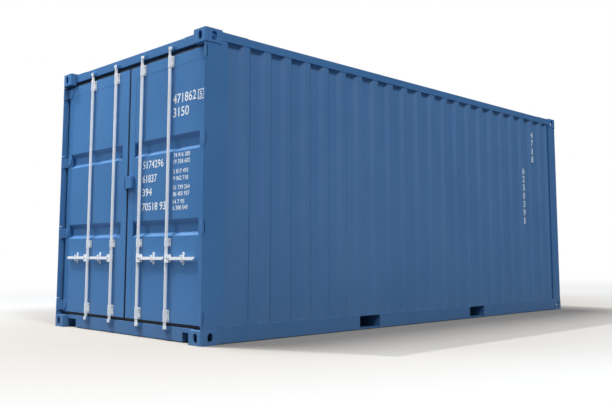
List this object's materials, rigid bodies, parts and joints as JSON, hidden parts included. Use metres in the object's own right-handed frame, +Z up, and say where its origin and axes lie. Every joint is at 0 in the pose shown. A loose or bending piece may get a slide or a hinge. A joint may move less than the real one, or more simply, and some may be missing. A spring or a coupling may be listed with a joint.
{
  "type": "shipping container",
  "caption": "Steel box for sea and road freight with ribbed walls, cast corners, fork pockets and full-height double doors on post hinges, locked by turning rods with lifting handles.",
  "frame": {"origin": "on the ground under the middle of the container", "axes": "+X along the container from the doors to the closed end, +Y to the left of someone who faces the doors, +Z up"},
  "size_m": [6.058, 2.438, 2.591],
  "materials": {
    "casting_paint": "semi-gloss blue paint on cast steel",
    "frame_paint": "semi-gloss blue paint on folded steel",
    "wall_paint": "semi-gloss blue paint on corrugated sheet steel",
    "door_paint": "semi-gloss blue paint on sheet steel",
    "hardware_paint": "semi-gloss blue paint on forged steel",
    "galvanised_steel": "hot-dip galvanised, light grey",
    "door_rubber": "black EPDM seal, matt",
    "floor_wood": "oiled plywood",
    "marking_white": "white vinyl digits",
    "bolt_zinc": "zinc-plated fasteners"
  },
  "bodies": {
    "container": {"bottom_rail_left": "frame_paint", "bottom_rail_right": "frame_paint", "cam_keepers": "hardware_paint", "corner_castings_lower": "casting_paint", "corner_castings_upper": "casting_paint", "door_header": "frame_paint", "door_sill": "frame_paint", "floor_cross_members": "frame_paint", "floor_deck": "floor_wood", "fork_pockets": "frame_paint", "front_header": "frame_paint", "front_post_left": "frame_paint", "front_post_right": "frame_paint", "front_sill": "frame_paint", "front_wall": "wall_paint", "hinge_pins_left": "hardware_paint", "hinge_pins_right": "hardware_paint", "rear_post_left": "frame_paint", "rear_post_right": "frame_paint", "roof_corner_plates": "frame_paint", "roof_panel": "wall_paint", "side_wall_left": "wall_paint", "side_wall_right": "wall_paint", "top_rail_left": "frame_paint", "top_rail_right": "frame_paint"},
    "left_door": {"door_frame_left": "door_paint", "door_panel_left": "door_paint", "door_gasket_left": "door_rubber", "door_hinges_left": "hardware_paint", "rod_brackets_left": "galvanised_steel", "handle_retainers_left": "galvanised_steel", "lock_box_left": "hardware_paint"},
    "inner_left_rod": {"lock_rod_inner_left": "galvanised_steel"},
    "inner_left_handle": {"handle_inner_left": "galvanised_steel"},
    "outer_left_rod": {"lock_rod_outer_left": "galvanised_steel"},
    "outer_left_handle": {"handle_outer_left": "galvanised_steel"},
    "right_door": {"door_frame_right": "door_paint", "door_panel_right": "door_paint", "door_gasket_right": "door_rubber", "door_hinges_right": "hardware_paint", "rod_brackets_right": "galvanised_steel", "handle_retainers_right": "galvanised_steel", "lock_box_right": "hardware_paint"},
    "inner_right_rod": {"lock_rod_inner_right": "galvanised_steel"},
    "inner_right_handle": {"handle_inner_right": "galvanised_steel"},
    "outer_right_rod": {"lock_rod_outer_right": "galvanised_steel"},
    "outer_right_handle": {"handle_outer_right": "galvanised_steel"}
  },
  "joints": [
    {"name": "left_door_hinge", "type": "hinge", "parent": "container", "child": "left_door", "pos_m": [-3.017, 1.207, 0.1645], "axis": [0, 0, -1], "range_deg": [0, 270]},
    {"name": "inner_left_rod_turn", "type": "hinge", "parent": "left_door", "child": "inner_left_rod", "pos_m": [-2.9925, 0.228, 0.688], "axis": [0, 0, -1], "range_deg": [-110, 0]},
    {"name": "inner_left_handle_lift", "type": "hinge", "parent": "inner_left_rod", "child": "inner_left_handle", "pos_m": [-2.9925, 0.263, 0.688], "axis": [-1, 0, 0], "range_deg": [-12, 0]},
    {"name": "outer_left_rod_turn", "type": "hinge", "parent": "left_door", "child": "outer_left_rod", "pos_m": [-2.9925, 0.668, 0.688], "axis": [0, 0, -1], "range_deg": [-110, 0]},
    {"name": "outer_left_handle_lift", "type": "hinge", "parent": "outer_left_rod", "child": "outer_left_handle", "pos_m": [-2.9925, 0.703, 0.688], "axis": [-1, 0, 0], "range_deg": [-12, 0]},
    {"name": "right_door_hinge", "type": "hinge", "parent": "container", "child": "right_door", "pos_m": [-3.017, -1.207, 0.1645], "axis": [0, 0, 1], "range_deg": [0, 270]},
    {"name": "inner_right_rod_turn", "type": "hinge", "parent": "right_door", "child": "inner_right_rod", "pos_m": [-2.9925, -0.228, 0.688], "axis": [0, 0, 1], "range_deg": [-110, 0]},
    {"name": "inner_right_handle_lift", "type": "hinge", "parent": "inner_right_rod", "child": "inner_right_handle", "pos_m": [-2.9925, -0.263, 0.688], "axis": [1, 0, 0], "range_deg": [-12, 0]},
    {"name": "outer_right_rod_turn", "type": "hinge", "parent": "right_door", "child": "outer_right_rod", "pos_m": [-2.9925, -0.668, 0.688], "axis": [0, 0, 1], "range_deg": [-110, 0]},
    {"name": "outer_right_handle_lift", "type": "hinge", "parent": "outer_right_rod", "child": "outer_right_handle", "pos_m": [-2.9925, -0.703, 0.688], "axis": [1, 0, 0], "range_deg": [-12, 0]}
  ]
}
